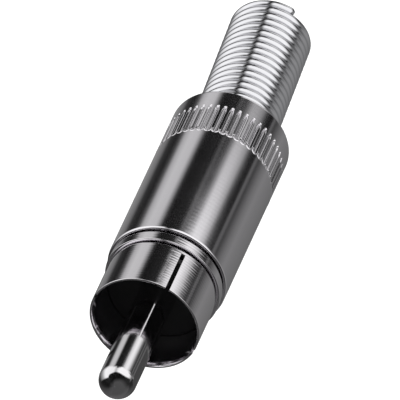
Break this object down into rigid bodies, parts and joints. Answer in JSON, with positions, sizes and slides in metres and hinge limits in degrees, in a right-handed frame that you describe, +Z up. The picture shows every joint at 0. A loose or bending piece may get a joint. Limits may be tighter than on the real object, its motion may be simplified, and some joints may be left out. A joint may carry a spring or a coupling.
{
  "type": "rca plug",
  "caption": "Straight coaxial plug with a round centre pin, a slotted contact sleeve, a knurled screw-on barrel and a coil spring strain relief.",
  "frame": {"origin": "on the plug's axis, in the plane of the contact sleeve's mouth", "axes": "-Y along the contact pin towards the socket, +Y towards the cable, +Z up with the plug held level in its socket"},
  "size_m": [0.0104, 0.048, 0.0104],
  "materials": {
    "bright_plate": "bright nickel plate",
    "turned_plate": "nickel plate over fine turning marks",
    "barrel_plate": "nickel plate over fine turning marks",
    "spring_wire": "bright drawn wire",
    "black_plastic": "moulded, satin",
    "tinned_sheet": "tinned sheet",
    "clear_tube": "thin extruded tube"
  },
  "bodies": {
    "plug_core": {"centre_pin": "bright_plate", "front_insulator": "black_plastic", "rear_insulator": "black_plastic", "contact_sleeve": "turned_plate", "threaded_body": "turned_plate", "ground_lug": "tinned_sheet"},
    "strain_relief": {"cable_spring": "spring_wire"},
    "screw_barrel": {"barrel": "barrel_plate", "insulating_tube": "clear_tube"}
  },
  "joints": [
    {"name": "barrel_travel", "type": "slide", "parent": "plug_core", "child": "strain_relief", "axis": [0, 1, 0], "range_m": [0, 0.0045]},
    {"name": "barrel_turn", "type": "hinge", "parent": "strain_relief", "child": "screw_barrel", "pos_m": [0, 0, 0], "axis": [0, 1, 0], "range_deg": [0, 2160]}
  ],
  "couplings": [
    {"joint": "barrel_travel", "follows": "barrel_turn", "m_per_rad": 0.00011936}
  ]
}
